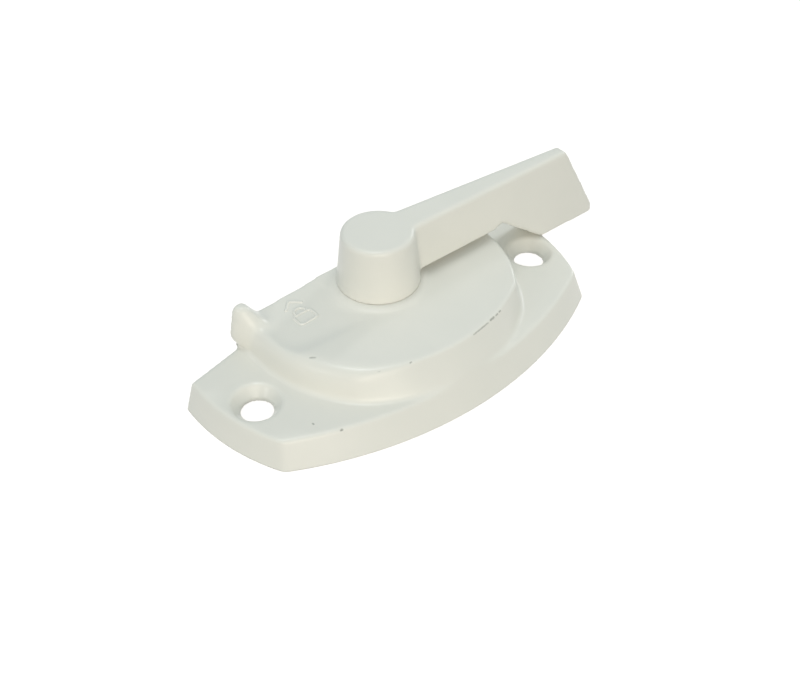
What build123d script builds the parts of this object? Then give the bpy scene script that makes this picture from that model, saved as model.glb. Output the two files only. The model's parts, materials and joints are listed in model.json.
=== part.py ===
from build123d import *
from math import cos, pi, radians, sin, sqrt, tan
import os

# Window sweep lock, drawn unlocked as in the photo. Millimetres, +Z up.
# +X runs along the base to the handle's open side, +Y to the keeper, behind the flat back.
# Origin: midway between the screw holes, on the mounting face. Every function below draws
# its piece about the handle's turning axis, and the last lines move them to that origin.

# Screw holes
hole_spacing = 60.3
axis_offset_y = 6.4
hole_diameter = 5.3
countersink_diameter = 8.0
countersink_throat_z = 3.0
countersink_rim_radius = 0.45

# Base plate, whose drafted walls lean in from the mounting face to the top
plate_height = 4.9
plate_end_reach = 37.5
plate_corner_x = 33.1
plate_end_lean = 0.33
plate_front_lean = 0.49
plate_corner_lean = 0.2
plate_corner_radius = 2.8
plate_edge_radius = 0.5
ear_web_z = 2.4
ear_back_y = 4.0
back_y = 7.35
back_flat_half = 20.5

# Cam housing: a drafted disc about the turning axis with a sloped front
deck_height = 10.1
housing_foot_radius = 24.6
housing_draft_run = 1.2
housing_deck_radius = housing_foot_radius - housing_draft_run
front_setback = 0.7
front_overlap = 0.1
front_foot_reach = housing_foot_radius - front_setback
plate_front_reach = front_foot_reach + plate_front_lean * plate_height - front_overlap
front_slope_run = 3.2
front_corner_angle = 45.0
front_corner_x = housing_foot_radius * cos(radians(front_corner_angle))
housing_cove_radius = 0.9
back_overrun = 6.0
deck_edge_radius = 0.4
soft_shoulder_radius = 2.6
soft_corner_radius = housing_foot_radius / 4
crisp_corner_radius = 0.6

# Recess beside the hub, open at the back, and the stop horn at its end
recess_depth = 0.8
recess_floor_tilt = 3.1
recess_end_x = 21.9
recess_front_y = 3.6
recess_tail_x = 5.0
recess_tail_y = 7.9
recess_corner_radius = 3.0
recess_front_run = 4.2
recess_side_run = 0.5
horn_rise = 2.6
horn_outer_x = 25.75
horn_crest_inset = 2.2
horn_slope_run = 4.3
horn_toe_sink = 0.1
horn_sunk_slope_share = 0.55
horn_start_y = 1.0
horn_ramp_run = 2.35
horn_steps = 4

# Collar that the handle's hub turns on
collar_height = 0.4
collar_margin = 0.4
collar_shoulder_run = 0.7
collar_flank_run = 2.6
collar_flank_sink = 0.2
collar_side_height = 0.18
collar_side_run = 2.2
collar_side_sink = 0.3

# A length past every edge of the part, for cutters that run right through
beyond = 3 * plate_end_reach

# Casting walls under the base
wall = 1.9
roof_z = 7.3
rib_width = 1.5
bearing_boss_diameter = 13.0
bearing_boss_z = 6.5

# Handle
hub_top_z = 20.45
hub_top_radius = 6.15
hub_foot_radius = 7.2
hub_gap = 0.12
arm_angle = -3.1
arm_top_tip_x = 40.95
arm_half_at_hub = 2.9
arm_half_at_tip = 1.3
arm_draft = 5.0
arm_underside_z = 11.65
arm_arch_x = 23.6
arm_arch_rise = 0.5
arm_edge_radius = 0.7
arm_root_radius = 1.5
tip_lean = 27.5
tip_corner_radius = 1.1
fin_bottom_z = 5.1
fin_corner_x = 35.2
fin_start_x = 25.65
fin_root_radius = 1.6
turn_range = 180.0
stop_gap = 0.3

# Stem, its square for the cam and its staked end
stem_diameter = 8.0
stem_running_gap = 0.06
stem_shoulder_z = 5.5
square_side = 5.4
square_fit_gap = 0.04
staked_neck_diameter = 4.2
staked_head_diameter = 6.4
staked_head_height = 0.7

# Cam and washers, stacked down the stem
cam_thickness = 2.6
cam_hub_diameter = 12.4
cam_reach = 17.6
cam_lead_in_depth = 3.4
cam_lead_share = 0.28
cam_half_angle = 47.0
cam_top_gap = 0.05
cam_corner_radius = 1.4
cam_edge_bevel = 0.5
slot_side_gap = 1.2
spring_washer_diameter = 12.0
spring_washer_thickness = 0.3
spring_washer_gap = 0.25
keeper_washer_diameter = 9.6
keeper_washer_thickness = 0.7
keeper_washer_gap = 0.1


def polar(radius, angle):
    """Point at a radius and an angle in degrees about the turning axis."""
    return (radius * cos(radians(angle)), radius * sin(radians(angle)))


def base_outline(reach, corner_x, front, back, ear_back):
    """Face of the base: two end arcs about the axis, a flatter front arc and a tapered back."""
    corner_y = -sqrt(reach**2 - corner_x**2)
    back_x = sqrt(reach**2 - ear_back**2)
    with BuildSketch() as sketch:
        with BuildLine():
            ThreePointArc((-corner_x, corner_y), (0, -front), (corner_x, corner_y))
            ThreePointArc((corner_x, corner_y), (reach, 0), (back_x, ear_back))
            Polyline((back_x, ear_back), (back_flat_half, back), (-back_flat_half, back), (-back_x, ear_back))
            ThreePointArc((-back_x, ear_back), (-reach, 0), (-corner_x, corner_y))
        make_face()
    return sketch.sketch


def housing_outline(reach, corner_x, front, back):
    """Face of the housing: a half disc with straight sides to the back and a flatter front arc."""
    corner_y = -sqrt(reach**2 - corner_x**2)
    side = polar(reach, -20)
    with BuildSketch() as sketch:
        with BuildLine():
            ThreePointArc((-corner_x, corner_y), (0, -front), (corner_x, corner_y))
            ThreePointArc((corner_x, corner_y), side, (reach, 0))
            Polyline((reach, 0), (reach, back), (-reach, back), (-reach, 0))
            ThreePointArc((-reach, 0), (-side[0], side[1]), (-corner_x, corner_y))
        make_face()
    return sketch.sketch


def plate_section(z, inset=0.0, corner_radius=plate_corner_radius):
    """Outline of the drafted base at a height, moved in by an inset, with rounded front corners."""
    face = base_outline(
        plate_end_reach - plate_end_lean * z - inset,
        plate_corner_x - plate_corner_lean * z - inset,
        plate_front_reach - plate_front_lean * z - inset,
        back_y - inset,
        ear_back_y - inset,
    )
    return Pos(0, 0, z) * fillet(face.vertices().group_by(Axis.Y)[0], corner_radius)


def housing_section(z, inset=0.0, back=back_y + back_overrun):
    """Outline of the drafted, front-sloped housing at a height, moved in by an inset."""
    share = (z - plate_height) / (deck_height - plate_height)
    reach = housing_foot_radius - share * housing_draft_run
    front = front_foot_reach - share * front_slope_run
    return Pos(0, 0, z) * housing_outline(reach - inset, front_corner_x - inset, front - inset, back)


def arm_half_width(x, z):
    """Half width of the arm at a distance along it and a height, with its taper and draft."""
    taper = (arm_half_at_hub - arm_half_at_tip) / (arm_top_tip_x - hub_top_radius)
    return arm_half_at_hub - taper * (x - hub_top_radius) + (hub_top_z - z) * tan(radians(arm_draft))


def make_plate():
    """Base plate with two ears and softened top edges."""
    plate = loft([plate_section(0), plate_section(plate_height)], ruled=True)
    return fillet(plate.faces().sort_by(Axis.Z)[-1].edges(), plate_edge_radius)


def slanted_corner(body, side):
    """The edge between the round wall and the sloped front, on the side given by its sign."""
    return [e for e in body.edges() if e.bounding_box().size.Z > (deck_height - plate_height) / 2
            and e.center().X * side > front_corner_x / 2 and e.center().Y < -front_foot_reach / 2]


def make_housing_shell():
    """Outside of the cam housing, which flows into the plate through a cove."""
    body = loft([housing_section(plate_height), housing_section(deck_height)], ruled=True)
    body = fillet(slanted_corner(body, -1), soft_corner_radius)
    body = fillet(slanted_corner(body, 1), crisp_corner_radius)
    body = Pos(0, 0, plate_height / 2) * Box(beyond, beyond, plate_height) + body
    foot = body.faces().filter_by(Plane.XY).group_by(Axis.Z)[-2]
    near = 1.2 * housing_foot_radius
    foot_edges = [e for e in foot.edges() if abs(e.bounding_box().center().X) < near
                  and abs(e.bounding_box().center().Y) < near and e.length < 2 * near]
    body = fillet(foot_edges, housing_cove_radius)
    deck_edges = [e for e in body.faces().sort_by(Axis.Z)[-1].edges() if e.center().Y < back_y + 0.8 * back_overrun]
    body = fillet(deck_edges, deck_edge_radius)
    body -= soft_shoulder_cutter()
    envelope = loft([plate_section(0), plate_section(plate_height)], ruled=True)
    envelope += loft([upper_section(plate_height), upper_section(deck_height + 1)], ruled=True)
    footprint = loft([housing_section(0, -1.0), housing_section(deck_height, -1.0)], ruled=True)
    return body & footprint & envelope


def upper_section(z):
    """Outline of the base carried on above the plate, with its back flat right across."""
    face = base_outline(
        plate_end_reach - plate_end_lean * z,
        plate_corner_x - plate_corner_lean * z,
        plate_front_reach - plate_front_lean * z,
        back_y,
        back_y,
    )
    return Pos(0, 0, z) * face


def soft_shoulder_cutter():
    """What lies outside the large shoulder radius, on the left half of the deck only."""
    block_height = deck_height - plate_height
    core = loft([housing_section(plate_height), housing_section(deck_height)], ruled=True)
    top_edges = [e for e in core.faces().sort_by(Axis.Z)[-1].edges() if e.center().X < -front_corner_x]
    core = fillet(top_edges, soft_shoulder_radius)
    block = Pos(-beyond / 2, 0, deck_height) * Box(beyond, 2 * beyond, block_height)
    return block - core


def in_front_of_back():
    """Everything on the front side of the flat back."""
    return Pos(0, back_y - beyond / 2, 0) * Box(beyond, beyond, beyond)


def collar_section(height, flank_run, sink):
    """Half section of the collar, whose flank sinks in a soft S to just under the deck."""
    rim = hub_foot_radius + collar_margin
    top = deck_height + height
    foot = (rim + collar_shoulder_run + flank_run, deck_height - sink)
    drop = (top - foot[1]) * collar_shoulder_run / (collar_shoulder_run + flank_run)
    bend = (rim + collar_shoulder_run, top - drop)
    base = deck_height - recess_depth - 1
    with BuildSketch(Plane.XZ) as sketch:
        with BuildLine():
            Polyline((foot[0], base), (0, base), (0, top), (rim, top))
            ThreePointArc((rim, top), (rim + collar_shoulder_run / 2, top - drop / 4), bend)
            ThreePointArc(bend, ((bend[0] + foot[0]) / 2, foot[1] + (bend[1] - foot[1]) / 4), foot)
            Line(foot, (foot[0], base))
        make_face()
    return sketch.sketch


def make_collar():
    """Raised ring around the hub, and its lower flank that runs on to the back beside the recess."""
    ring = revolve(collar_section(collar_height, collar_flank_run, collar_flank_sink), Axis.Z)
    side = mirror(collar_section(collar_side_height, collar_side_run, collar_side_sink), Plane.YZ)
    side = extrude(side, amount=back_y + 1, dir=(0, 1, 0))
    return (ring + side) & in_front_of_back()


def recess_outline(share):
    """Plan of the recess at a share of the way up its soft walls, open at the back."""
    end_x = -(recess_end_x + recess_side_run * share)
    front = -(recess_front_y + recess_front_run * share)
    with BuildSketch() as sketch:
        with BuildLine():
            Polyline(
                (-recess_tail_x, back_y + 1), (end_x, back_y + 1), (end_x, front), (-recess_tail_x, -recess_tail_y),
                close=True,
            )
        make_face()
        corner = sketch.vertices().filter_by(lambda v: v.X < -recess_end_x / 2 and v.Y < 0)
        fillet(corner, recess_corner_radius)
    return sketch.sketch


def make_recess_cutter():
    """Recess with walls that rise in a soft S, tilted so that it fades out beside the collar."""
    sections = []
    for share in (0, 0.3, 0.7, 1):
        rise = recess_depth * share**2 * (3 - 2 * share)
        sections.append(Pos(0, 0, rise) * recess_outline(share))
    sections.append(Pos(0, 0, 3 * recess_depth) * recess_outline(1))
    cutter = Pos(recess_end_x, 0, 0) * loft(sections, ruled=True)
    return Pos(-recess_end_x, 0, deck_height - recess_depth) * Rot(0, -recess_floor_tilt, 0) * cutter


def stop_face_y(z):
    """Where the locked arm's side stands at a height, beside the end of the recess."""
    reach = housing_deck_radius
    centre = -reach * sin(radians(arm_angle + 180 - turn_range))
    return centre + arm_half_width(reach, z)


def horn_section(y, share):
    """Cross-section of the horn at a distance along it, from sunk in the wall to full height."""
    floor = deck_height - recess_depth
    crest_z = floor - 0.4 + (horn_rise + recess_depth + 0.4) * share
    sunk_x = sqrt((housing_deck_radius + 0.2) ** 2 - y**2)
    outer_x = -(sunk_x + (horn_outer_x - sunk_x) * share)
    foot_x = -sqrt((housing_foot_radius - 0.6 + 0.7 * share) ** 2 - y**2)
    crest_x = outer_x + horn_crest_inset
    foot_z = plate_height - 0.3
    climb = crest_z - foot_z
    slope_run = horn_slope_run * (horn_sunk_slope_share + (1 - horn_sunk_slope_share) * share)
    outside = [(foot_x, foot_z), (outer_x, foot_z + 0.3 * climb), (outer_x + 0.55, foot_z + 0.74 * climb),
               (outer_x + 1.0, foot_z + 0.91 * climb), (crest_x, crest_z)]
    inside = []
    for step in (0.28, 0.5, 0.75, 1):
        lift = (crest_z - floor + horn_toe_sink) * (1 + cos(pi * step)) / 2
        inside.append((crest_x + step * slope_run, floor - horn_toe_sink + lift))
    toe = inside[-1]
    with BuildSketch(Plane.XZ.offset(-y)) as sketch:
        with BuildLine():
            Spline(outside + inside)
            Polyline(toe, (toe[0], floor - 1), (foot_x + 3, foot_z), (foot_x, foot_z))
        make_face()
    return sketch.sketch


def make_horn():
    """Rounded horn at the back of the recess, where the locked arm comes to rest."""
    stop_y = stop_face_y(arm_underside_z) + stop_gap
    sections = []
    for step in range(horn_steps + 1):
        y = horn_start_y + (stop_y + horn_ramp_run - horn_start_y) * step / horn_steps
        share = step / horn_steps
        sections.append(horn_section(y, share**2 * (3 - 2 * share)))
    sections.append(horn_section(back_y, 1))
    return loft(sections)


def make_screw_hole():
    """Cutter for one countersunk screw hole, with its rim eased in two small bevels."""
    throat = hole_diameter / 2
    rim = countersink_diameter / 2
    soft = countersink_rim_radius
    with BuildSketch(Plane.XZ) as sketch:
        with BuildLine():
            Polyline(
                (0, -1), (throat, -1), (throat, countersink_throat_z), (rim, plate_height - soft * 0.6),
                (rim + soft * 0.3, plate_height - soft * 0.2), (rim + soft, plate_height),
                (rim + soft, plate_height + 1), (0, plate_height + 1), close=True,
            )
        make_face()
    return revolve(sketch.sketch, Axis.Z)


def make_chamber():
    """Hollow under the deck, where the cam turns, inside walls of even thickness."""
    room = loft([housing_section(-0.1, wall, back_y - wall), housing_section(roof_z, wall, back_y - wall)],
                ruled=True)
    return room & plate_hollow(roof_z)


def plate_hollow(top):
    """The space inside the drafted plate walls, from the mounting face to a height."""
    return loft([plate_section(-0.1, wall, 0.6), plate_section(top, wall, 0.6)], ruled=True)


def make_ear_hollows():
    """Shallow hollows under both ears, kept off the chamber by a rib."""
    ring = loft([housing_section(-0.2, wall - rib_width), housing_section(ear_web_z + 1, wall - rib_width)],
                ruled=True)
    return plate_hollow(ear_web_z) - ring


def make_cam_slot():
    """Way out through the back wall for the cam, open down to the mounting face."""
    inner_y = back_y - wall
    left = -(sqrt(cam_reach**2 - inner_y**2) + slot_side_gap)
    right = back_y / tan(radians(90 - cam_half_angle)) + slot_side_gap
    return Pos((left + right) / 2, back_y - wall / 2, (bearing_boss_z - 1) / 2) * Box(
        right - left, wall + 2, bearing_boss_z + 1)


def make_housing():
    """One casting: plate, cam housing, collar and horn, hollow underneath."""
    body = make_plate() + make_housing_shell() - make_recess_cutter()
    body = body + make_collar() + make_horn()
    body = body - make_chamber() - make_ear_hollows()
    boss = Pos(0, 0, (roof_z + bearing_boss_z) / 2) * Cylinder(
        bearing_boss_diameter / 2, roof_z - bearing_boss_z + 0.02)
    body = body + (boss & in_front_of_back())
    body = body - make_cam_slot()
    bore = stem_diameter / 2 + stem_running_gap
    body = body - Pos(0, 0, deck_height) * Cylinder(bore, deck_height)
    hole = make_screw_hole()
    for side in (-1, 1):
        body = body - Pos(side * hole_spacing / 2, -axis_offset_y, 0) * hole
    return body


def arm_side_profile():
    """Side view of the arm: level top, leaning tip, a low arch and a finger fin that drops past the base."""
    tip_drop = hub_top_z - fin_bottom_z
    tip_bottom_x = arm_top_tip_x + tip_drop * tan(radians(tip_lean))
    arch_top_z = arm_underside_z + arm_arch_rise
    arch_middle = (arm_arch_x + 0.4 * (fin_start_x - arm_arch_x), arm_underside_z + 0.8 * arm_arch_rise)
    with BuildSketch(Plane.XZ) as sketch:
        with BuildLine():
            Polyline(
                (arm_arch_x, arm_underside_z), (0, arm_underside_z), (0, hub_top_z),
                (arm_top_tip_x, hub_top_z), (tip_bottom_x, fin_bottom_z),
                (fin_corner_x, fin_bottom_z), (fin_start_x, arch_top_z),
            )
            ThreePointArc((fin_start_x, arch_top_z), arch_middle, (arm_arch_x, arm_underside_z))
        make_face()
        corners = sketch.vertices().filter_by(lambda v: v.X > 1)
        fillet(corners.sort_by(Axis.X)[-1:], tip_corner_radius)
        fillet(sketch.vertices().filter_by(lambda v: abs(v.X - fin_start_x) < 0.1), fin_root_radius)
        fillet(sketch.vertices().filter_by(lambda v: abs(v.X - fin_corner_x) < 0.1), tip_corner_radius / 2)
    return sketch.sketch


def tip_envelope():
    """Everything inboard of the leaning tip face, with the tip's top corner rounded."""
    lean = tan(radians(tip_lean))
    with BuildSketch(Plane.XZ) as sketch:
        with BuildLine():
            Polyline(
                (-hub_top_z, hub_top_z), (arm_top_tip_x, hub_top_z), (arm_top_tip_x + hub_top_z * lean, 0),
                (-hub_top_z, 0), close=True,
            )
        make_face()
        fillet(sketch.vertices().filter_by(lambda v: abs(v.X - arm_top_tip_x) < 0.1), tip_corner_radius)
    return extrude(sketch.sketch, amount=hub_top_z, both=True)


def make_drafted_arm():
    """The arm's tapered plan carried up from the fin's foot, growing narrower by its draft."""
    start, far = -hub_top_radius / 2, arm_top_tip_x + hub_top_z
    near, end = arm_half_width(start, fin_bottom_z), arm_half_width(far, fin_bottom_z)
    plan = make_face(Polyline((start, -near), (far, -end), (far, end), (start, near), close=True))
    return extrude(Pos(0, 0, fin_bottom_z) * plan, amount=hub_top_z - fin_bottom_z, taper=arm_draft)


def make_handle():
    """One casting: tapered hub, arm with its fin, and the stem that turns the cam."""
    hub_foot_z = deck_height + collar_height + hub_gap
    arm = extrude(arm_side_profile(), amount=hub_foot_radius, both=True)
    arm = arm & make_drafted_arm()
    hub = Pos(0, 0, (hub_foot_z + hub_top_z) / 2) * Cone(hub_foot_radius, hub_top_radius, hub_top_z - hub_foot_z)
    handle = hub + arm
    roots = [e for e in handle.edges() if e.bounding_box().size.Z > 5 and e.center().X < hub_foot_radius
             and e.center().X > 2]
    handle = fillet(roots, arm_root_radius)
    handle = fillet(handle.faces().sort_by(Axis.Z)[-1].edges(), arm_edge_radius)
    handle = handle & tip_envelope()
    handle = Rot(0, 0, arm_angle) * handle
    handle = handle + make_stem(hub_foot_z)
    return handle


def cam_levels():
    """Top and bottom heights of the cam, hung from the stem's shoulder."""
    top = stem_shoulder_z - cam_top_gap
    return top, top - cam_thickness


def make_stem(top):
    """Round journal, a square for the cam, and a neck with its end staked over."""
    cam_top, cam_bottom = cam_levels()
    head_top = cam_bottom - cam_top_gap - keeper_washer_thickness - cam_top_gap
    journal = Pos(0, 0, (stem_shoulder_z + top) / 2) * Cylinder(stem_diameter / 2, top - stem_shoulder_z + 0.02)
    square_foot = cam_bottom
    square = Pos(0, 0, (stem_shoulder_z + square_foot) / 2) * Box(
        square_side, square_side, stem_shoulder_z - square_foot + 0.02)
    neck = Pos(0, 0, (square_foot + head_top) / 2) * Cylinder(staked_neck_diameter / 2, square_foot - head_top + 0.02)
    head = Pos(0, 0, head_top - staked_head_height / 2) * Cone(
        staked_head_diameter / 2 - 0.8, staked_head_diameter / 2, staked_head_height)
    return journal + square + neck + head


def cam_outline():
    """Plan of the cam, drawn locked: a sector that pulls in along a rising edge."""
    lead = 90 - cam_half_angle
    trail = 90 + cam_half_angle
    low = cam_reach - cam_lead_in_depth
    middle = cam_reach - cam_lead_share * cam_lead_in_depth
    hub = cam_hub_diameter / 2
    with BuildSketch() as sketch:
        with BuildLine():
            Line((0, 0), polar(low, lead))
            ThreePointArc(polar(low, lead), polar(middle, lead + cam_half_angle / 2), polar(cam_reach, 90))
            ThreePointArc(polar(cam_reach, 90), polar(cam_reach, 90 + cam_half_angle / 2), polar(cam_reach, trail))
            Line(polar(cam_reach, trail), (0, 0))
        make_face()
        fillet(sketch.vertices().filter_by(lambda v: Vector(v.X, v.Y).length > hub), cam_corner_radius)
        Circle(hub)
        Rectangle(square_side + 2 * square_fit_gap, square_side + 2 * square_fit_gap, mode=Mode.SUBTRACT)
    return sketch.sketch


def make_cam():
    """Flat cam on the stem's square, shown drawn back inside the chamber."""
    top, bottom = cam_levels()
    cam = extrude(cam_outline(), amount=top - bottom)
    rim = [e for e in cam.faces().sort_by(Axis.Z)[-1].edges() if e.center().Y > cam_hub_diameter / 2]
    cam = chamfer(rim, cam_edge_bevel)
    return Pos(0, 0, bottom) * Rot(0, 0, turn_range) * cam


def make_keeper_washer():
    """Flat washer under the cam, held by the staked end."""
    bottom = cam_levels()[1] - cam_top_gap - keeper_washer_thickness
    ring = Cylinder(keeper_washer_diameter / 2, keeper_washer_thickness)
    ring -= Cylinder(staked_neck_diameter / 2 + keeper_washer_gap, 2 * keeper_washer_thickness)
    return Pos(0, 0, bottom + keeper_washer_thickness / 2) * ring


def make_spring_washer():
    """Bowed washer between the bearing boss and the cam, a ring bent about one line."""
    room = bearing_boss_z - cam_levels()[0] - 2 * cam_top_gap
    radius = spring_washer_diameter / 2
    rise = room - spring_washer_thickness
    bend = (radius**2 + rise**2) / (2 * rise)
    top = bearing_boss_z - cam_top_gap
    ring = Cylinder(radius, stem_diameter) - Cylinder(stem_diameter / 2 + spring_washer_gap, 2 * stem_diameter)
    across = Rot(90, 0, 0)
    skin = across * Cylinder(bend, 3 * radius) - across * Cylinder(bend - spring_washer_thickness, 4 * radius)
    return Pos(0, 0, top) * (ring & (Pos(0, 0, -bend) * skin))


parts = {
    "housing": make_housing(),
    "handle": make_handle(),
    "cam": make_cam(),
    "spring_washer": make_spring_washer(),
    "keeper_washer": make_keeper_washer(),
}

os.makedirs("parts", exist_ok=True)
for name, shape in parts.items():
    export_step(Pos(0, axis_offset_y, 0) * shape, f"parts/{name}.step")
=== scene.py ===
import json
from math import cos, pi, radians, sin

import bmesh
import bpy
import numpy as np
from mathutils import Matrix, Vector


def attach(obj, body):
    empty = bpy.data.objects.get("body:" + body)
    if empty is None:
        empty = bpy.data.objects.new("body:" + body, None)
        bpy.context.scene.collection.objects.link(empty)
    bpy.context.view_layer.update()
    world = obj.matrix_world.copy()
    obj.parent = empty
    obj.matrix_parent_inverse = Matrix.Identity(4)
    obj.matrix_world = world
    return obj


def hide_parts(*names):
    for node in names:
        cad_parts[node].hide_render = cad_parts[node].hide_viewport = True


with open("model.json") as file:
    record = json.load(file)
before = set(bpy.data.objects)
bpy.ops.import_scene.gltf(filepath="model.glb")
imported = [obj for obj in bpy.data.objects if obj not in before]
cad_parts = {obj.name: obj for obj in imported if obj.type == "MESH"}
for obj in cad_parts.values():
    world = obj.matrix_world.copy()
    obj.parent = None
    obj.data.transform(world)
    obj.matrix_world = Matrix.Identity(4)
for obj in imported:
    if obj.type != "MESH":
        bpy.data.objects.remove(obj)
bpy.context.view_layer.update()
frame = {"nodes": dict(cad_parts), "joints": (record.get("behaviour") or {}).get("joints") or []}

# %% [markdown]
# ## A white window sweep lock
#
# The real object is a small die-cast zinc lock with white enamel on every outside face.
# A tapered hub carries a long lever, the lever turns a hidden cam, and the cam slides
# under a keeper behind the flat back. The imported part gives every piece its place, so
# this script only has to give each piece the surface it has in real life: thick paint
# that rounds every edge, plated steel inside, a little relief mark and some chips.

# %% Lengths, the turning axis and colours
MM = 0.001
nodes = frame["nodes"]
turn_joint = frame["joints"][0]
turn_axis = Vector(turn_joint["pos_m"])


def linear(hex_colour):
    """sRGB hex to linear RGBA: below 0.04045 divide by 12.92, above it use the 2.4 power."""
    values = [int(hex_colour[i:i + 2], 16) / 255 for i in (1, 3, 5)]
    straight = [v / 12.92 if v <= 0.04045 else ((v + 0.055) / 1.055) ** 2.4 for v in values]
    return (*straight, 1.0)


print("turning axis in mm:", [round(v / MM, 2) for v in turn_axis])

# %% [markdown]
# ## An even skin over each casting
#
# Sprayed enamel is a liquid before it is hard, so it flows off sharp edges and fills tight
# corners. The solid has crisp lines where its faces meet. A bevel could soften them, but it
# needs clean edges and can't melt the horn into the round wall. So a copy of the casting is
# welded and rebuilt as an even grid of small quads, a third of a millimetre apart. Such a
# grid can then relax like a film of paint.
#
# The real casting is ground flat underneath, so its lower edge is the one that stays sharp.
# A grid would make that edge wavy. So the copy's underside is first sunk a little deeper,
# the grid is built on that, and later everything below the mounting face is pressed back
# up to it: the edge is then a straight cut.

# %% Copy of a casting as an even grid
SKIN_STEP = 0.31 * MM
FOOT_DEPTH = 1.2 * MM
WELD_DISTANCE = 0.0005 * MM
FLAT_WITHIN = 0.001 * MM


def faces_on_ground(solid):
    """The faces whose corners all lie on z = 0, within FLAT_WITHIN."""
    return [face for face in solid.faces if all(abs(v.co.z) < FLAT_WITHIN for v in face.verts)]


def sink_underside(mesh):
    """Weld the mesh and push whatever lies flat on z = 0 down by FOOT_DEPTH, as an extrusion.
    The walls then run on through z = 0, where they are cut off neatly later."""
    solid = bmesh.new()
    solid.from_mesh(mesh)
    bmesh.ops.remove_doubles(solid, verts=solid.verts, dist=WELD_DISTANCE)
    flat = faces_on_ground(solid)
    if flat:
        grown = bmesh.ops.extrude_face_region(solid, geom=flat)["geom"]
        low = [part for part in grown if isinstance(part, bmesh.types.BMVert)]
        bmesh.ops.translate(solid, verts=low, vec=(0, 0, -FOOT_DEPTH))
        bmesh.ops.delete(solid, geom=faces_on_ground(solid), context="FACES")
    solid.to_mesh(mesh)
    solid.free()
    return mesh


def even_skin(node, name):
    """Rebuild a welded copy of the node on a voxel grid and return its plain mesh."""
    copy = bpy.data.objects.new(name + "_grid", sink_underside(node.data.copy()))
    bpy.context.scene.collection.objects.link(copy)
    grid = copy.modifiers.new("even_grid", "REMESH")
    grid.mode = "VOXEL"
    grid.voxel_size = SKIN_STEP
    depsgraph = bpy.context.evaluated_depsgraph_get()
    mesh = bpy.data.meshes.new_from_object(copy.evaluated_get(depsgraph))
    bpy.data.objects.remove(copy)
    mesh.name = name
    return mesh


housing_mesh = even_skin(nodes["housing"], "housing_skin")
handle_mesh = even_skin(nodes["handle"], "handle_skin")
print("quads:", len(housing_mesh.polygons), len(handle_mesh.polygons))

# %% [markdown]
# ## Letting the paint flow
#
# One round of relaxing moves every point part of the way to the middle of its neighbours.
# Few rounds only take the edge off a corner, many rounds melt it. The photograph shows
# both: the lever, the horn and the right half of the deck have neat edges, while the left
# shoulder and the recess look as if they were made of wax. So each point gets its own
# share of the extra rounds, from a smooth mask over the casting. In the few neat rounds a
# slightly stronger step outwards follows each step inwards, which keeps thin parts whole.
#
# What melts also sinks, so three things are mended: the horn's crest is lifted again, the
# foot of the hub goes back to its neat edge, and the stem stays clear of its bore. At the
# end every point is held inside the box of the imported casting.

# %% Relaxing
NEAT_ROUNDS = 6
SOFT_ROUNDS = 30
STEP_IN = 0.5
STEP_OUT = -0.52
SHORTEST_EDGE = 0.02 * MM


def smooth_step(value, low, high):
    """0 below low, 1 above high, and 3t^2 - 2t^3 between them."""
    t = np.clip((value - low) / (high - low), 0, 1)
    return t * t * (3 - 2 * t)


def relax(points, edges, pulls):
    """For each pull in turn: point + pull * (mean of its neighbours - point)."""
    count = np.bincount(edges.ravel(), minlength=len(points))[:, None]
    for pull in pulls:
        total = np.zeros_like(points)
        for axis in range(3):
            from_first = np.bincount(edges[:, 1], weights=points[edges[:, 0], axis], minlength=len(points))
            from_second = np.bincount(edges[:, 0], weights=points[edges[:, 1], axis], minlength=len(points))
            total[:, axis] = from_first + from_second
        points = points + pull * (total / count - points)
    return points


def paint_flow(mesh, node, soft_mask, mend):
    """Relax a mesh everywhere without shrinking it, then with the step STEP_IN * mask for
    SOFT_ROUNDS, and mend what that took too much of. No point leaves the box of the node."""
    points = np.empty(len(mesh.vertices) * 3)
    mesh.vertices.foreach_get("co", points)
    points = points.reshape(-1, 3)
    edges = np.empty(len(mesh.edges) * 2, np.int64)
    mesh.edges.foreach_get("vertices", edges)
    edges = edges.reshape(-1, 2)
    start = points.copy()
    points = relax(points, edges, [STEP_IN, STEP_OUT] * NEAT_ROUNDS + [STEP_IN])
    points = mend(relax(points, edges, [STEP_IN * soft_mask(points)] * SOFT_ROUNDS))
    box = np.array(node.bound_box)
    points = np.clip(points, box.min(axis=0), box.max(axis=0))
    mesh.vertices.foreach_set("co", points.ravel())
    tidy = bmesh.new()
    tidy.from_mesh(mesh)
    bmesh.ops.dissolve_degenerate(tidy, dist=SHORTEST_EDGE, edges=tidy.edges)
    tidy.to_mesh(mesh)
    tidy.free()
    mesh.polygons.foreach_set("use_smooth", np.ones(len(mesh.polygons), bool))
    mesh.update()
    moved = np.linalg.norm(points - start, axis=1)
    print(mesh.name, "moved at most", round(float(moved.max()) / MM, 2), "mm")
    return mesh


# %% Where the housing is soft, in mm
LEFT_SIDE = (7, 15)
ABOVE_BASE = (5.6, 7.6)
BACK_EDGE = (10.5, 13.2)
HORN_FOOT = (10.4, 11.4)
HORN_CREST = (11.3, 12.2)
NEATER_THERE = 0.9
HORN_LIFT = 0.22 * MM


def soft_left_side(points):
    """1 on the left shoulder and in the recess, 0 on the right and below the base's top, and a
    tenth along the back edge, which is as neat as a cut, and on the horn above the deck."""
    x, y, z = points.T / MM
    away_from_back = 1 - NEATER_THERE * smooth_step(y, *BACK_EDGE)
    below_horn = 1 - NEATER_THERE * smooth_step(z, *HORN_FOOT)
    softness = smooth_step(-x, *LEFT_SIDE) * smooth_step(z, *ABOVE_BASE) * away_from_back * below_horn
    return softness[:, None]


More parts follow.
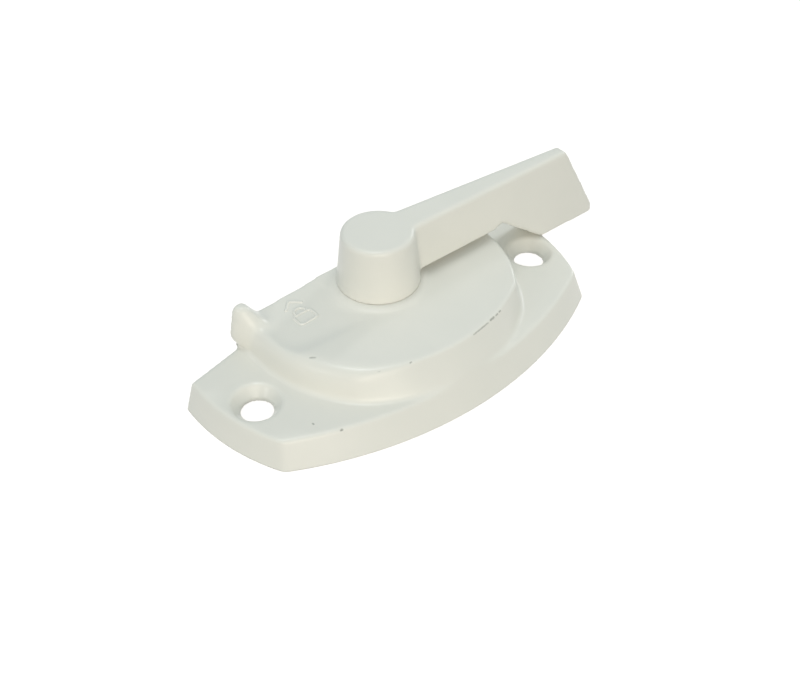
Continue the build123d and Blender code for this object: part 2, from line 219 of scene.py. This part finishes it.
def raised_horn(points):
    """Relaxing lowers the horn's crest, so it rises again by HORN_LIFT times a smooth step
    from the height of the lever's underside up to the crest, on the left side only."""
    x, z = points[:, 0] / MM, points[:, 2] / MM
    points[:, 2] += HORN_LIFT * smooth_step(-x, *LEFT_SIDE) * smooth_step(z, *HORN_CREST)
    return points


paint_flow(housing_mesh, nodes["housing"], soft_left_side, raised_horn)

# %% The hub's neat foot and the stem, in mm
HUB_FOOT = 10.62
HUB_FOOT_RADIUS = 7.2
HUB_DRAFT = 0.107
FOOT_HEIGHT = 0.7
FOOT_WALL = (6.4, 7.4)
STEM_TOP = -0.1
STEM_REACH = 6
STEM_SLIMMING = 0.02


def nothing_soft(points):
    """A mask that is 0 everywhere."""
    return np.zeros((len(points), 1))


def crisp_hub_foot(points):
    """Relaxing rounds the hub's foot, where the real one ends in a neat edge: the lowest part
    of its wall goes back to the cone, radius = HUB_FOOT_RADIUS - HUB_DRAFT * height over the
    foot. The stem below it is a fiftieth slimmer, which keeps it clear of the bore."""
    across = points[:, :2] - np.array(turn_axis[:2])
    radius = np.linalg.norm(across, axis=1)
    height = points[:, 2] / MM - HUB_FOOT
    wall = (height < FOOT_HEIGHT) & (radius > FOOT_WALL[0] * MM) & (radius < FOOT_WALL[1] * MM)
    cone = (HUB_FOOT_RADIUS - HUB_DRAFT * np.clip(height, 0, None)) * MM
    points[wall, :2] += across[wall] * (cone[wall] / radius[wall] - 1)[:, None]
    stem = (height < STEM_TOP) & (radius < STEM_REACH * MM)
    points[stem, :2] -= STEM_SLIMMING * across[stem]
    return points


paint_flow(handle_mesh, nodes["handle"], nothing_soft, crisp_hub_foot)

# %% [markdown]
# ## Skins in place of the two castings
#
# Each skin stands in for its node, which is hidden, and rides on the same body,
# so the part still moves and is painted as one piece of metal.

# %% Skins ride on their bodies
def stand_in(mesh, node_name, body):
    """An object for the skin, at the origin, that replaces its node on a body."""
    skin = bpy.data.objects.new(mesh.name, mesh)
    bpy.context.scene.collection.objects.link(skin)
    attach(skin, body)
    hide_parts(node_name)
    return skin


housing_skin = stand_in(housing_mesh, "housing", "base")
handle_skin = stand_in(handle_mesh, "handle", "lever")
print("skins:", housing_skin.name, handle_skin.name)

# %% [markdown]
# ## The mark in the recess
#
# Most such locks have a word and an arrow cast into the recess. A word is not copied here:
# a plain padlock outline and a plain arrow head show the locked side instead. They could be
# a bump in the paint, but a cast mark catches light on real edges. So each line is a low
# rounded bead, swept along a path on the recess floor and half sunk into it.

# %% Floor of the recess, in mm
MARK_X = -15.0
MARK_Y = turn_axis.y / MM + 0.6
MARK_REACH = 3
ABOVE_ALL = 30


def floor_height(x, y):
    """Height of the casting straight below a point, all in mm."""
    start = Vector((x * MM, y * MM, ABOVE_ALL * MM))
    place = housing_skin.ray_cast(start, Vector((0, 0, -1)))[1]
    return place.z / MM


bpy.context.view_layer.update()
floor_left = floor_height(MARK_X - MARK_REACH, MARK_Y)
floor_right = floor_height(MARK_X + MARK_REACH, MARK_Y)
floor_slope = (floor_right - floor_left) / (2 * MARK_REACH)
print("recess floor in mm:", round(floor_left, 2), "rising", round(floor_slope, 3), "per mm")

# %% A bead along a path
BEAD_HALF_WIDTH = 0.27
BEAD_RISE = 0.16
BEAD_ENDS = (0.05, 0.8)
RING = 12


def bead_points(path, closed):
    """Rings of points in mm around a flat path: across it, the cosine of the angle gives the
    width, and the sine the height over the floor. At an open end both shrink to nothing."""
    forward = np.roll(path, -1, 0) - np.roll(path, 1, 0) if closed else np.gradient(path, axis=0)
    forward /= np.linalg.norm(forward, axis=1)[:, None]
    side = np.stack([-forward[:, 1], forward[:, 0]], axis=1)
    angle = np.linspace(0, 2 * pi, RING + 1)[:-1]
    swell = np.ones(len(path))
    if not closed:
        swell[[0, -1]] = BEAD_ENDS[0]
        swell[[1, -2]] = BEAD_ENDS[1]
    across = BEAD_HALF_WIDTH * swell[:, None] * np.cos(angle)[None, :]
    flat = path[:, None, :] + across[..., None] * side[:, None, :]
    floor = floor_left + (flat[..., 0] - MARK_X + MARK_REACH) * floor_slope
    height = floor + BEAD_RISE * swell[:, None] * np.sin(angle)[None, :]
    return np.concatenate([flat, height[..., None]], axis=2).reshape(-1, 3)


def bead_faces(count, closed):
    """Quads between each ring and the next, and a cap on each open end."""
    rows = np.arange(count if closed else count - 1)[:, None]
    ring = np.arange(RING)[None, :]
    after = (ring + 1) % RING
    start = rows * RING
    end = (rows + 1) % count * RING
    quads = np.stack([start + ring, end + ring, end + after, start + after], axis=-1)
    faces = quads.reshape(-1, 4).tolist()
    if not closed:
        faces += [list(range(RING)), list(range((count - 1) * RING, count * RING))[::-1]]
    return faces


def bead(name, path, closed):
    """One line of the mark, swept along its path on the floor of the recess."""
    path = np.asarray(path, float)
    points = bead_points(path, closed) * MM
    mesh = bpy.data.meshes.new(name)
    mesh.from_pydata(points.tolist(), [], bead_faces(len(path), closed))
    mesh.polygons.foreach_set("use_smooth", np.ones(len(mesh.polygons), bool))
    piece = bpy.data.objects.new(name, mesh)
    bpy.context.scene.collection.objects.link(piece)
    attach(piece, "base")
    return piece


# %% Padlock and arrow, in mm
PADLOCK_HALF = 1.7
PADLOCK_HEIGHT = 2.4
PADLOCK_SQUARENESS = 6
PADLOCK_POINTS = 60
SHACKLE_HALF = 1.0
SHACKLE_FOOT = 1.15
SHACKLE_LEG = 0.45
SHACKLE_POINTS = 19
ARROW_HALF = 1.8
ARROW_FOOT = 3.2
ARROW_TIP = 5.0
ARROW_STEP = 0.12


def padlock_body():
    """A rounded square: a superellipse, |x|^n + |y|^n = 1 with n = PADLOCK_SQUARENESS."""
    angle = np.linspace(0, 2 * pi, PADLOCK_POINTS + 1)[:-1]
    c, s = np.cos(angle), np.sin(angle)
    power = PADLOCK_SQUARENESS
    stretch = (np.abs(c) ** power + np.abs(s) ** power) ** (-1 / power)
    x = MARK_X + PADLOCK_HALF * c * stretch
    y = MARK_Y + PADLOCK_HEIGHT / 2 * s * stretch
    return np.stack([x, y], axis=1)


def shackle():
    """Two straight legs joined by a half circle."""
    angle = np.linspace(pi, 0, SHACKLE_POINTS)
    foot = MARK_Y + SHACKLE_FOOT
    x = MARK_X + SHACKLE_HALF * np.cos(angle)
    y = foot + SHACKLE_LEG + SHACKLE_HALF * np.sin(angle)
    arc = np.stack([x, y], axis=1)
    return np.concatenate([[[MARK_X - SHACKLE_HALF, foot]], arc, [[MARK_X + SHACKLE_HALF, foot]]])


def arrow_head():
    """Points every ARROW_STEP along two straight lines that meet at the tip."""
    foot, tip = MARK_Y + ARROW_FOOT, MARK_Y + ARROW_TIP
    corners = np.array([[MARK_X - ARROW_HALF, foot], [MARK_X, tip], [MARK_X + ARROW_HALF, foot]])
    runs = []
    for start, end in zip(corners[:-1], corners[1:]):
        parts = int(np.linalg.norm(end - start) / ARROW_STEP)
        runs.append(start + (end - start) * np.arange(parts)[:, None] / parts)
    return np.concatenate([*runs, corners[-1:]])


marks = [
    bead("padlock_body", padlock_body(), True),
    bead("padlock_shackle", shackle(), False),
    bead("arrow_head", arrow_head(), False),
]
print("mark pieces:", len(marks))

# %% [markdown]
# ## Camera
#
# The lens and the place were worked out from the photograph: the two screw holes, the
# round hub and the straight back fix the view. The camera looks down at 42 degrees,
# from in front and to the left of the lock, from about 20 centimetres away.

# %% Camera
VIEW_TURN = radians(39.297)
VIEW_TILT = radians(42.238)
VIEW_ROLL = radians(-0.483)
VIEW_DISTANCE = 197.97 * MM
AIM_HEIGHT = 8 * MM
VIEW_AIM = Vector((0, 0, AIM_HEIGHT)) + Vector((turn_axis.x, turn_axis.y, 0))
VIEW_SLIDE = (3.66 * MM, -9.202 * MM)
IMAGE_WIDTH = 800
LENS_PIXELS = 1150
SENSOR = 36.0
NEAR_CLIP = 0.01


def make_camera():
    """Columns of the camera's matrix: right, up and minus the viewing direction, rolled."""
    away = Vector((sin(VIEW_TURN), cos(VIEW_TURN), 0))
    right = Vector((cos(VIEW_TURN), -sin(VIEW_TURN), 0))
    forward = away * cos(VIEW_TILT) - Vector((0, 0, sin(VIEW_TILT)))
    up = away * sin(VIEW_TILT) + Vector((0, 0, cos(VIEW_TILT)))
    side = right * cos(VIEW_ROLL) + up * sin(VIEW_ROLL)
    top = up * cos(VIEW_ROLL) - right * sin(VIEW_ROLL)
    place = VIEW_AIM - forward * VIEW_DISTANCE + side * VIEW_SLIDE[0] + top * VIEW_SLIDE[1]
    data = bpy.data.cameras.new("photo_camera")
    data.sensor_width = SENSOR
    data.lens = SENSOR * LENS_PIXELS / IMAGE_WIDTH
    data.clip_start = NEAR_CLIP
    camera = bpy.data.objects.new("photo_camera", data)
    bpy.context.scene.collection.objects.link(camera)
    turned = Matrix((side, top, -forward)).transposed().to_4x4()
    camera.matrix_world = Matrix.Translation(place) @ turned
    bpy.context.scene.camera = camera
    return camera


camera = make_camera()
print("lens in mm:", round(camera.data.lens, 2))

# %% [markdown]
# ## Materials
#
# Enamel is a coloured film with a clear, slightly wavy surface. One helper adds a node,
# sets its values and links its inputs, so that each material reads as a short list.

# %% Node helper
def add(tree, kind, settings=None, **links):
    """One shader node, with its settings and the sockets that feed its inputs. A link named
    a_0 or a_1 feeds the input of that number."""
    node = tree.nodes.new(kind)
    for name, value in (settings or {}).items():
        if name in node.inputs:
            node.inputs[name].default_value = value
        else:
            setattr(node, name, value)
    for name, source in links.items():
        socket = int(name[2:]) if name.startswith("a_") else name.replace("_", " ")
        tree.links.new(source, node.inputs[socket])
    return node


def new_material(name):
    """An empty material with its principled shader ready to be fed."""
    material = bpy.data.materials.new(name)
    material.use_nodes = True
    return material, material.node_tree, material.node_tree.nodes["Principled BSDF"]


def paint_on(piece, material):
    """Put one material on a whole piece."""
    piece.data.materials.clear()
    piece.data.materials.append(material)


# %% [markdown]
# ## White enamel on die-cast zinc
#
# The enamel is sprayed over a rough casting and baked. It gives the eye three things: an
# even warm white, a satin gloss of index 1.5, and a faint waviness a few millimetres wide
# with a finer orange peel on it. Where a key or a screwdriver knocked it, a chip shows the
# grey metal. The waviness and the peel are noise textures whose scales come from their real
# sizes. The chips are short strokes at the places where the photograph shows them, most of
# them along edges, because that is where a knock lands. Noise breaks up their outlines.

# %% Chips in the enamel
CHIPS = [
    ((3.2, -14.35, 9.9), (6.9, -13.75, 9.9), 0.10), ((7.6, -13.5, 9.9), (8.6, -13.2, 9.8), 0.14),
    ((9.2, -13.1, 9.8), (9.7, -13.0, 9.8), 0.10), ((10.2, -12.8, 9.8), (10.6, -12.7, 9.8), 0.10),
    ((-20.5, -1.7, 9.9), (-19.8, -2.3, 9.9), 0.10), ((-14.2, -11.1, 9.9), (-13.8, -11.3, 9.9), 0.21),
    ((-23.5, -13.4, 4.7), (-23.3, -13.4, 4.7), 0.16), ((-26.1, -9.8, 4.9), (-26.1, -9.6, 4.9), 0.10),
    ((-9.1, -12.9, 10.0), (-8.9, -12.9, 10.0), 0.09), ((-25.0, 13.1, 5.0), (-24.8, 12.9, 5.0), 0.16),
]
CHIP_RAGGED = 0.22 * MM
CHIP_GRAIN = 0.5 * MM
CHIP_RIM = (-0.12 * MM, 0.16 * MM)


def chip_depth(tree, place, start, end, radius):
    """Depth inside a short stroke: radius minus the distance to the nearest point of its
    middle line, start + t * (end - start) with t held between 0 and 1."""
    start, end = Vector(start) * MM, Vector(end) * MM
    run = end - start
    from_start = add(tree, "ShaderNodeVectorMath", {"operation": "SUBTRACT"}, a_0=place)
    from_start.inputs[1].default_value = start
    along = add(tree, "ShaderNodeVectorMath", {"operation": "DOT_PRODUCT"}, a_0=from_start.outputs[0])
    along.inputs[1].default_value = run / run.length_squared
    held = add(tree, "ShaderNodeClamp", Value=along.outputs["Value"])
    nearest = add(tree, "ShaderNodeVectorMath", {"operation": "SCALE"}, Scale=held.outputs[0])
    nearest.inputs[0].default_value = run
    away = add(tree, "ShaderNodeVectorMath", {"operation": "DISTANCE"},
               a_0=from_start.outputs[0], a_1=nearest.outputs[0])
    inside = add(tree, "ShaderNodeMath", {"operation": "SUBTRACT"}, a_1=away.outputs["Value"])
    inside.inputs[0].default_value = radius * MM
    return inside.outputs[0]


def chip_mask(tree, place):
    """1 inside any chip and 0 outside: the deepest of all strokes, with a soft rim."""
    ragged = add(tree, "ShaderNodeTexNoise", {"Scale": 1 / CHIP_GRAIN, "Detail": 3.0}, Vector=place)
    centred = add(tree, "ShaderNodeVectorMath", {"operation": "SUBTRACT"}, a_0=ragged.outputs["Color"])
    centred.inputs[1].default_value = (0.5, 0.5, 0.5)
    moved = add(tree, "ShaderNodeVectorMath", {"operation": "MULTIPLY_ADD"},
                a_0=centred.outputs[0], a_2=place)
    moved.inputs[1].default_value = (CHIP_RAGGED, CHIP_RAGGED, CHIP_RAGGED)
    deepest = None
    for start, end, radius in CHIPS:
        inside = chip_depth(tree, moved.outputs[0], start, end, radius)
        deepest = inside if deepest is None else add(
            tree, "ShaderNodeMath", {"operation": "MAXIMUM"}, a_0=deepest, a_1=inside).outputs[0]
    rim = add(tree, "ShaderNodeMapRange", {"From Min": CHIP_RIM[0], "From Max": CHIP_RIM[1]}, Value=deepest)
    return rim.outputs["Result"]


print("chips:", len(CHIPS))

# %% White enamel
ENAMEL = "#EAE8E0"
ENAMEL_THIN = "#E4E3DB"
BARE_ZINC = "#8C8C84"
ENAMEL_INDEX = 1.5
SATIN = (0.28, 0.34)
CLOUD_SIZE = 9 * MM
WAVE_SIZE = 4 * MM
WAVE_DEPTH = 0.05 * MM
PEEL_SIZE = 0.6 * MM
PEEL_DEPTH = 0.006 * MM
CHIP_SINK = 0.06 * MM


def white_enamel():
    """Warm white enamel: even colour, satin gloss, wavy film with orange peel, and chips."""
    material, tree, shader = new_material("white_enamel_on_cast_zinc")
    place = add(tree, "ShaderNodeTexCoord").outputs["Object"]
    cloud = add(tree, "ShaderNodeTexNoise", {"Scale": 1 / CLOUD_SIZE, "Detail": 2.0}, Vector=place)
    tint = add(tree, "ShaderNodeMix", {"data_type": "RGBA"}, a_0=cloud.outputs["Fac"])
    tint.inputs[6].default_value = linear(ENAMEL)
    tint.inputs[7].default_value = linear(ENAMEL_THIN)
    mask = chip_mask(tree, place)
    colour = add(tree, "ShaderNodeMix", {"data_type": "RGBA"}, a_0=mask, a_6=tint.outputs[2])
    colour.inputs[7].default_value = linear(BARE_ZINC)
    gloss = add(tree, "ShaderNodeMapRange", {"To Min": SATIN[0], "To Max": SATIN[1]},
                Value=cloud.outputs["Fac"])
    film = add(tree, "ShaderNodeTexNoise", {"Scale": 1 / WAVE_SIZE, "Detail": 1.0}, Vector=place)
    peel = add(tree, "ShaderNodeTexNoise", {"Scale": 1 / PEEL_SIZE, "Detail": 2.0}, Vector=place)
    wavy = add(tree, "ShaderNodeBump", {"Strength": 0.5, "Distance": WAVE_DEPTH},
               Height=film.outputs["Fac"])
    peeled = add(tree, "ShaderNodeBump", {"Strength": 0.4, "Distance": PEEL_DEPTH},
                 Height=peel.outputs["Fac"], Normal=wavy.outputs["Normal"])
    sunk = add(tree, "ShaderNodeBump", {"Strength": 0.8, "Distance": CHIP_SINK, "invert": True},
               Height=mask, Normal=peeled.outputs["Normal"])
    tree.links.new(colour.outputs[2], shader.inputs["Base Color"])
    tree.links.new(gloss.outputs["Result"], shader.inputs["Roughness"])
    tree.links.new(sunk.outputs["Normal"], shader.inputs["Normal"])
    shader.inputs["IOR"].default_value = ENAMEL_INDEX
    return material


# Baked white enamel on both castings and on the mark that is cast with one of them.
enamel = white_enamel()
for piece in (housing_skin, handle_skin, *marks):
    paint_on(piece, enamel)
print("enamel on:", housing_skin.name, handle_skin.name, "and", len(marks), "lines of the mark")

# %% [markdown]
# ## Plated and spring steel
#
# The cam and the flat washer are stamped from steel sheet and zinc plated, which gives a
# bright, slightly cloudy grey with fine rolling lines. The bowed washer is hardened spring
# steel, oiled and darker. Metals keep the default index, and only colour, roughness and
# a fine bump tell them apart.

# %% Steel finishes
LINE_STRETCH = 30
LINE_DEPTH = 0.01 * MM
DULL_SPOT = 3 * MM
DULLING = (-0.08, 0.10)


def rolled_steel(name, colour, dull_colour, roughness, line_width):
    """Metal whose rolling lines run along X: noise of line_width mm, stretched LINE_STRETCH
    times along X. Where it clouds over, its roughness shifts by DULLING."""
    material, tree, shader = new_material(name)
    place = add(tree, "ShaderNodeTexCoord").outputs["Object"]
    stretched = add(tree, "ShaderNodeMapping", {"Scale": (1 / LINE_STRETCH, 1.0, 1.0)}, Vector=place)
    lines = add(tree, "ShaderNodeTexNoise", {"Scale": 1 / (line_width * MM), "Detail": 3.0},
                Vector=stretched.outputs["Vector"])
    cloud = add(tree, "ShaderNodeTexNoise", {"Scale": 1 / DULL_SPOT, "Detail": 3.0}, Vector=place)
    tint = add(tree, "ShaderNodeMix", {"data_type": "RGBA"}, a_0=cloud.outputs["Fac"])
    tint.inputs[6].default_value = linear(colour)
    tint.inputs[7].default_value = linear(dull_colour)
    dull = add(tree, "ShaderNodeMapRange",
               {"To Min": roughness + DULLING[0], "To Max": roughness + DULLING[1]},
               Value=cloud.outputs["Fac"])
    ridges = add(tree, "ShaderNodeBump", {"Strength": 0.35, "Distance": LINE_DEPTH},
                 Height=lines.outputs["Fac"])
    tree.links.new(tint.outputs[2], shader.inputs["Base Color"])
    tree.links.new(dull.outputs["Result"], shader.inputs["Roughness"])
    tree.links.new(ridges.outputs["Normal"], shader.inputs["Normal"])
    shader.inputs["Metallic"].default_value = 1.0
    return material


# Bright zinc plate on the cam and the flat washer, oiled spring steel on the bowed one.
zinc_plate = rolled_steel("zinc_plated_steel", "#C4C6C8", "#B4B6B2", roughness=0.34, line_width=0.12)
spring_steel = rolled_steel("oiled_spring_steel", "#8C8C8E", "#77756F", roughness=0.28, line_width=0.08)
paint_on(nodes["cam"], zinc_plate)
paint_on(nodes["keeper_washer"], zinc_plate)
paint_on(nodes["spring_washer"], spring_steel)
print("materials:", sorted(m.name for m in (enamel, zinc_plate, spring_steel)))

# %% [markdown]
# ## Floor
#
# The photograph was taken on a white ground that is so bright that it shows no shadow, and
# it shines up through the two screw holes. A sheet of lit opal acrylic does that: it
# scatters light as paper does and glows with its own. A sheet as big as this one would
# also flood the lock from below. So it is hidden from the soft light that bounces from
# surface to surface, and only the camera and the gloss of the paint see it.

# %% Sheet of lit acrylic
FLOOR_REACH = 4.0
FLOOR_DROP = 0.02 * MM
FLOOR_COLOUR = "#6E6E6C"
GLOW_COLOUR = "#FFFDFA"
GLOW_STRENGTH = 0.99


def make_floor():
    """A flat square sheet just under the mounting face, FLOOR_REACH metres to each side."""
    corners = np.array([[-1, -1, 0], [1, -1, 0], [1, 1, 0], [-1, 1, 0]], float) * FLOOR_REACH
    corners[:, 2] = -FLOOR_DROP
    mesh = bpy.data.meshes.new("floor")
    mesh.from_pydata(corners.tolist(), [], [[0, 1, 2, 3]])
    floor = bpy.data.objects.new("floor", mesh)
    bpy.context.scene.collection.objects.link(floor)
    material, tree, shader = new_material("lit_opal_acrylic")
    shader.inputs["Base Color"].default_value = linear(FLOOR_COLOUR)
    shader.inputs["Roughness"].default_value = 0.9
    shader.inputs["Emission Color"].default_value = linear(GLOW_COLOUR)
    shader.inputs["Emission Strength"].default_value = GLOW_STRENGTH
    mesh.materials.append(material)
    floor.visible_diffuse = False
    return floor


floor = make_floor()
print("floor in m:", 2 * FLOOR_REACH, "wide")

# %% [markdown]
# ## Lamps
#
# The short dark band under the lever tells where the strongest light was: almost straight
# above, a touch behind. A wide warm lamp in front and to the left lights the walls. Two
# small lamps at the sides draw the thin bright lines in the coves and on the edges. Square
# soft boxes do this better than points or a sun, because their size sets how soft the
# shadows are.

# %% Soft boxes
def softbox(name, azimuth, height, distance, width, watts, colour):
    """A square lamp at an azimuth and height in degrees, turned to face the lock."""
    data = bpy.data.lights.new(name, "AREA")
    data.shape = "SQUARE"
    data.size = width
    data.energy = watts
    data.color = linear(colour)[:3]
    turn, lift = radians(azimuth), radians(height)
    away = Vector((cos(turn) * cos(lift), sin(turn) * cos(lift), sin(lift)))
    lamp = bpy.data.objects.new(name, data)
    lamp.location = turn_axis + away * distance
    lamp.rotation_euler = (-away).to_track_quat("-Z", "Y").to_euler()
    bpy.context.scene.collection.objects.link(lamp)
    return lamp


lamps = [
    softbox("overhead_key", 100, 83, distance=1.0, width=0.17, watts=1.7, colour="#F4FAFF"),
    softbox("front_fill", -120, 18, distance=1.2, width=0.8, watts=6.3, colour="#FFF3E2"),
    softbox("right_edge_light", 14, 24, distance=0.8, width=0.05, watts=0.8, colour="#FFFFFF"),
    softbox("left_edge_light", 185, 28, distance=0.8, width=0.04, watts=0.3, colour="#FFFFFF"),
]
print("lamps:", len(lamps))

# %% [markdown]
# ## Room
#
# Between the lamps the lock sees the pale walls of a light tent, which fill every shadow. One
# even colour would do, but a real tent is brighter above than below. So the strength of the
# room grows smoothly with the height of the direction that a ray leaves in.

# %% Light tent
HORIZON = 0.35
ROOM_COLOUR = "#F0FAFB"
ROOM_BELOW = 0.35
ROOM_ABOVE = 0.59


def soft_room():
    """A room whose strength follows the height of the direction looked at: ROOM_BELOW at
    -HORIZON and lower, ROOM_ABOVE at HORIZON and higher, a straight line between them."""
    world = bpy.data.worlds.new("studio")
    world.use_nodes = True
    tree = world.node_tree
    room = tree.nodes["Background"]
    room.inputs["Color"].default_value = linear(ROOM_COLOUR)
    direction = add(tree, "ShaderNodeTexCoord").outputs["Generated"]
    height = add(tree, "ShaderNodeSeparateXYZ", Vector=direction).outputs["Z"]
    span = {"From Min": -HORIZON, "From Max": HORIZON, "To Min": ROOM_BELOW, "To Max": ROOM_ABOVE}
    strength = add(tree, "ShaderNodeMapRange", span, Value=height)
    tree.links.new(strength.outputs["Result"], room.inputs["Strength"])
    return world


world = soft_room()
bpy.context.scene.world = world
bpy.context.scene.view_settings.view_transform = "Standard"
print("room strength:", ROOM_BELOW, "to", ROOM_ABOVE)
